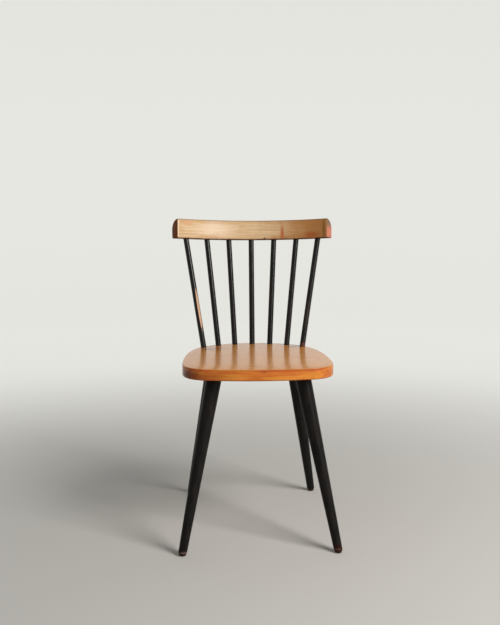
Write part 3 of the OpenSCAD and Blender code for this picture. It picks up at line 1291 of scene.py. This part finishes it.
@dataclass
class SpindleRow:
    """The row of painted spindles.

    Attributes:
        radius: A spindle's radius.
        roughness: Roughness of their paint.
        shine: Strength of its reflections.
    """

    count: int = 7
    radius: float = 7.5 * MM
    roughness: float = 0.14
    shine: float = 0.3

    def _chips(self, number: int) -> tuple[Chip, ...]:
        """Worn places of one spindle.

        Args:
            number: The spindle's number from the left.

        Returns:
            The worn places.
        """
        bare, brown = tone(216, 172, 138), tone(66, 50, 40)
        if number == 1:
            return (Chip(0.19, 0.53, (0.53, -0.85, 0.0), 0.90, 0.9, bare),)
        if number == self.count:
            return (
                Chip(0.03, 0.088, (0.2, -0.98, 0.0), 0.2, 0.8, tone(96, 48, 28)),
                Chip(0.20, 0.44, (-0.2, -0.98, 0.0), 0.85, 0.35, brown),
            )
        return ()

    def build(self) -> None:
        """Makes, dresses and hands over the spindles."""
        plain = BlackPaint("spindle_paint", self.roughness, self.shine).build()
        for number in range(1, self.count + 1):
            node = f"spindle_{number}"
            offset = number - (self.count + 1) / 2
            side = (offset > 0) - (offset < 0)
            foot, head = rod_axis(node, self.radius, side)
            chips = self._chips(number)
            finish = plain
            if chips:
                finish = BlackPaint(f"{node}_paint", self.roughness, self.shine, chips).build()
            rod = TurnedPiece(foot, head, self.radius, self.radius, sides=40, rings=60)
            hand_over(rod.make(f"painted_{node}", finish), node)


class Corner(Enum):
    """The chair's four corners: sideways sign, and whether it is at the front."""

    FRONT_LEFT = (-1, True)
    FRONT_RIGHT = (1, True)
    REAR_LEFT = (-1, False)
    REAR_RIGHT = (1, False)

    @property
    def side(self) -> int:
        """-1 on the left, 1 on the right."""
        return self.value[0]

    @property
    def front(self) -> bool:
        """Whether it is a front corner."""
        return self.value[1]

    @property
    def label(self) -> str:
        """The corner's name in node names."""
        return self.name.lower()


@dataclass
class LegSet:
    """The four splayed legs with their glides and glide nails.

    Attributes:
        top_r: A leg's radius under the seat.
        foot_r: A leg's radius at the floor.
        front_side_in: Distance from the widest side of the seat to a front leg's axis.
        rear_side_in: Distance from the widest side of the seat to a rear leg's axis.
        front_joint: Distance from the front legs' axes back to the front board's joint.
        rear_joint: Distance from the rear legs' axes forward to the rear board's joint.
        foot_round: Rounding of a foot's lower edge.
        glide_r: The glide's radius.
        glide_round: Rounding of the glide's skirt.
        roughness: Roughness of the legs' paint.
        shine: Strength of its reflections.
    """

    seat: Seat
    top_r: float = 19.75 * MM
    foot_r: float = 10.25 * MM
    front_side_in: float = 0.079
    rear_side_in: float = 0.0815
    front_joint: float = 0.029
    rear_joint: float = 0.023
    foot_round: float = 1.2 * MM
    glide_r: float = 9 * MM
    glide_round: float = 3 * MM
    roughness: float = 0.34
    shine: float = 0.09

    @staticmethod
    def _glide_axis(corner: Corner) -> tuple[Vector, Vector]:
        """Middles of a glide's lower and upper faces."""
        low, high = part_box(f"glide_{corner.label}")
        return tuple(Vector(((low.x + high.x) / 2, (low.y + high.y) / 2, z)) for z in (low.z, high.z))

    def _leg(self, corner: Corner) -> TurnedPiece:
        """The leg's shape at a corner.

        Args:
            corner: The corner.

        Returns:
            The shape.
        """
        _, foot = self._glide_axis(corner)
        joint = self.seat.board_w if corner.front else -self.seat.board_w
        edge = self.seat.low.y if corner.front else self.seat.high.y
        inset = -self.front_joint if corner.front else self.rear_joint
        side_in = self.front_side_in if corner.front else self.rear_side_in
        top = Vector((corner.side * (self.seat.high.x - side_in), edge + joint + inset, self.seat.low.z))
        grown = self.foot_r + (self.top_r - self.foot_r) * foot.z / top.z
        return TurnedPiece(
            foot, top, grown, self.top_r, start_rounding=self.foot_round, crowding=2.0, sides=64, rings=72
        )

    def _chips(self, corner: Corner) -> tuple[Chip, ...]:
        """Worn places of one leg.

        Args:
            corner: The leg's corner.

        Returns:
            The worn places.
        """
        rubbed, dusty = tone(46, 20, 16), tone(122, 102, 92)
        all_round = (0.0, -1.0, 0.0)
        if corner is Corner.FRONT_RIGHT:
            return (
                Chip(-0.032, 0.032, all_round, -4.0, 0.9, rubbed),
                Chip(0.008, 0.015, (0.2, -0.98, 0.0), 0.1, 0.8, tone(98, 68, 60)),
            )
        if corner is Corner.FRONT_LEFT:
            return (
                Chip(-0.018, 0.018, all_round, -4.0, 0.7, tone(48, 34, 32)),
                Chip(0.004, 0.010, (0.3, -0.95, 0.0), 0.3, 0.85, dusty),
            )
        return (Chip(-0.010, 0.010, all_round, -4.0, 0.7, rubbed),)

    def build(self) -> None:
        """Makes, dresses and hands over the legs, glides and nails."""
        glide_finish = ScuffedGlide().build()
        steel = NailSteel().build()
        for corner in Corner:
            leg_node, glide_node = f"leg_{corner.label}", f"glide_{corner.label}"
            paint = BlackPaint(f"{leg_node}_paint", self.roughness, self.shine, self._chips(corner)).build()
            leg = self._leg(corner).make(f"painted_{leg_node}", paint)
            hand_over(leg, leg_node)

            cap = TurnedPiece(
                *self._glide_axis(corner), self.glide_r, self.glide_r,
                start_rounding=self.glide_round, crowding=1.4, sides=48, rings=16,
            )
            hand_over(cap.make(f"moulded_{glide_node}", glide_finish), glide_node)

            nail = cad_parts[f"glide_nail_{corner.label}"]
            nail.data.materials.clear()
            nail.data.materials.append(steel)
            LOG.info("%s: CAD node kept, steel", nail.name)


# ---- stage ----


@dataclass(frozen=True)
class Lamp:
    """A soft rectangular lamp, with its power in watts and its size as width and height."""

    name: str
    place: tuple[float, float, float]
    size: Point2
    power: float
    colour: Colour

    def hang(self, aim: Vector) -> None:
        """Hangs the lamp.

        Args:
            aim: What it points at.
        """
        light = bpy.data.lights.new(self.name, "AREA")
        light.shape = "RECTANGLE"
        light.size, light.size_y = self.size
        light.energy = self.power
        light.color = self.colour
        lamp = put_in_scene(self.name, light)
        lamp.location = self.place
        lamp.rotation_euler = (aim - Vector(self.place)).to_track_quat("-Z", "Y").to_euler()


@dataclass
class Studio:
    """The pale floor and backdrop, the soft light and the camera.

    Attributes:
        reach: Radius of the level floor.
        cove_r: Radius of the curve from the floor to the backdrop.
        wall_h: Height of the backdrop.
        aim_h: Height of the place that the lamps point at.
        sky: Colour of the light from all round.
        sky_glow: Its strength.
        eye: The camera's place.
        turn_right: The camera's turn from straight ahead to the right.
        tip_down: The camera's tip below the level.
        lens: Focal length in millimetres.
        film_w: Width of the film in millimetres.
        shift_up: Upward shift of the frame.
    """

    reach: float = 3.2
    cove_r: float = 0.8
    cove_steps: int = 12
    sides: int = 96
    wall_h: float = 2.6
    lamps: tuple[Lamp, ...] = (
        Lamp("window", (1.9, -1.75, 2.25), (1.3, 1.7), 88, (1.0, 0.97, 0.92)),
        Lamp("sill", (1.9, -2.2, 0.9), (0.3, 1.2), 9, (1.0, 0.98, 0.95)),
    )
    aim_h: float = 0.45
    sky: Colour = (1.0, 0.99, 0.97)
    sky_glow: float = 0.12
    eye: tuple[float, float, float] = (-0.1310, -2.3161, 0.8792)
    turn_right: float = math.radians(2.883)
    tip_down: float = math.radians(4.708)
    lens: float = 51.86
    film_w: float = 36
    shift_up: float = -0.0842

    def _bowl(self) -> bpy.types.Object:
        """Makes a floor that curves up into a backdrop all round.

        Returns:
            The floor and backdrop.
        """
        profile = [(0.0, 0.0), (self.reach, 0.0)]
        for turn in quarter_turn(self.cove_steps)[1:]:
            profile.append((self.reach + self.cove_r * math.sin(turn), self.cove_r * (1 - math.cos(turn))))
        profile.append((self.reach + self.cove_r, self.wall_h))
        shape = bmesh.new()
        line = [shape.verts.new((r, 0, z)) for r, z in profile]
        edges = [shape.edges.new(pair) for pair in zip(line, line[1:])]
        bmesh.ops.spin(
            shape, geom=line + edges, cent=(0, 0, 0), axis=(0, 0, 1), angle=math.tau,
            steps=self.sides, use_merge=True,
        )
        bmesh.ops.remove_doubles(shape, verts=shape.verts, dist=0.01 * MM)
        return new_piece("pale_stage", smooth_mesh(shape, "pale_stage"))

    def _camera(self) -> None:
        """Sets up the camera."""
        lens = bpy.data.cameras.new("eye")
        lens.lens = self.lens
        lens.sensor_width = self.film_w
        lens.shift_y = self.shift_up
        camera = put_in_scene("eye", lens)
        camera.location = self.eye
        camera.rotation_euler = (math.pi / 2 - self.tip_down, 0, -self.turn_right)
        bpy.context.scene.camera = camera

    def build(self) -> None:
        """Sets the stage, the lamps, the sky and the camera."""
        stage = self._bowl()
        stage.data.materials.append(StagePlaster().build())
        for lamp in self.lamps:
            lamp.hang(Vector((0, 0, self.aim_h)))
        world = bpy.data.worlds.new("sky")
        world.use_nodes = True
        sky = world.node_tree.nodes["Background"]
        sky.inputs["Color"].default_value = (*self.sky, 1.0)
        sky.inputs["Strength"].default_value = self.sky_glow
        bpy.context.scene.world = world
        bpy.context.scene.view_settings.view_transform = "Standard"
        self._camera()
        LOG.info("stage, lamps and camera set")


def main() -> None:
    """Builds the chair and its stage in order."""
    logging.basicConfig(level=logging.INFO, format="%(name)s: %(message)s")
    seat = Seat()
    seat.build()
    CrestRail(seat).build()
    SpindleRow().build()
    LegSet(seat).build()
    Studio().build()


if __name__ == "__main__":
    main()
